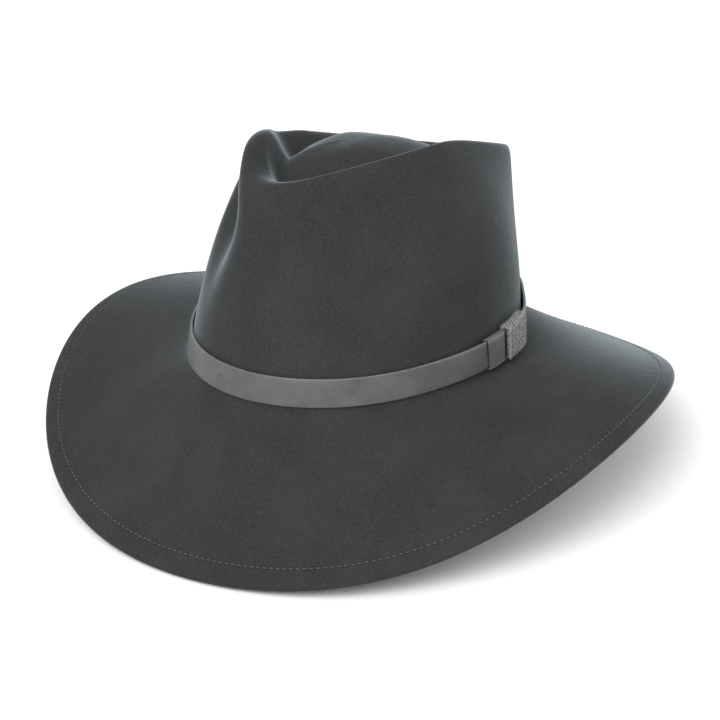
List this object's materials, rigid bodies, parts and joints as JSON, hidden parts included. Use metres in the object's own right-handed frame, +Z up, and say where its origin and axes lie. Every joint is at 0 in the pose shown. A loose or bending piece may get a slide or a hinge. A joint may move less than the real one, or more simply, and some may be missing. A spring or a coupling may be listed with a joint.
{
  "type": "cowboy hat",
  "caption": "Wide-brimmed felt hat with a dented, pinched crown, a leather band with a sliding keeper and cord lashing, and a leather sweatband.",
  "frame": {"origin": "middle of the head opening, in the plane where the crown meets the brim", "axes": "+Z up through the crown, -Y the way the wearer faces, +X the wearer's left"},
  "size_m": [0.357, 0.3498, 0.1903],
  "materials": {
    "felt": "matte wool felt",
    "leather": "smooth satin",
    "cord": "waxed twisted cord",
    "thread": "matte",
    "sweatband": "smooth satin",
    "reed": "satin",
    "ribbon": "ribbed",
    "tab": "matte"
  },
  "bodies": {
    "hat": {"felt_body": "felt", "brim_stitching": "thread", "hatband_strap": "leather", "hatband_cord_wrap": "cord", "hatband_tack_1": "thread", "hatband_tack_2": "thread", "hatband_tack_3": "thread", "hatband_tack_4": "thread", "hatband_tack_5": "thread", "hatband_tack_6": "thread", "sweatband": "sweatband", "sweatband_reed": "reed", "sweatband_stitching": "thread", "sweatband_seam_tape": "sweatband", "sweatband_bow": "ribbon", "size_tab": "tab"},
    "keeper": {"hatband_keeper": "leather"}
  },
  "joints": [
    {"name": "keeper_slide", "type": "hinge", "parent": "hat", "child": "keeper", "pos_m": [-0.00489, 0.00474, 0.01113], "axis": [0, 0, 1], "range_deg": [-8, 0.4]}
  ]
}
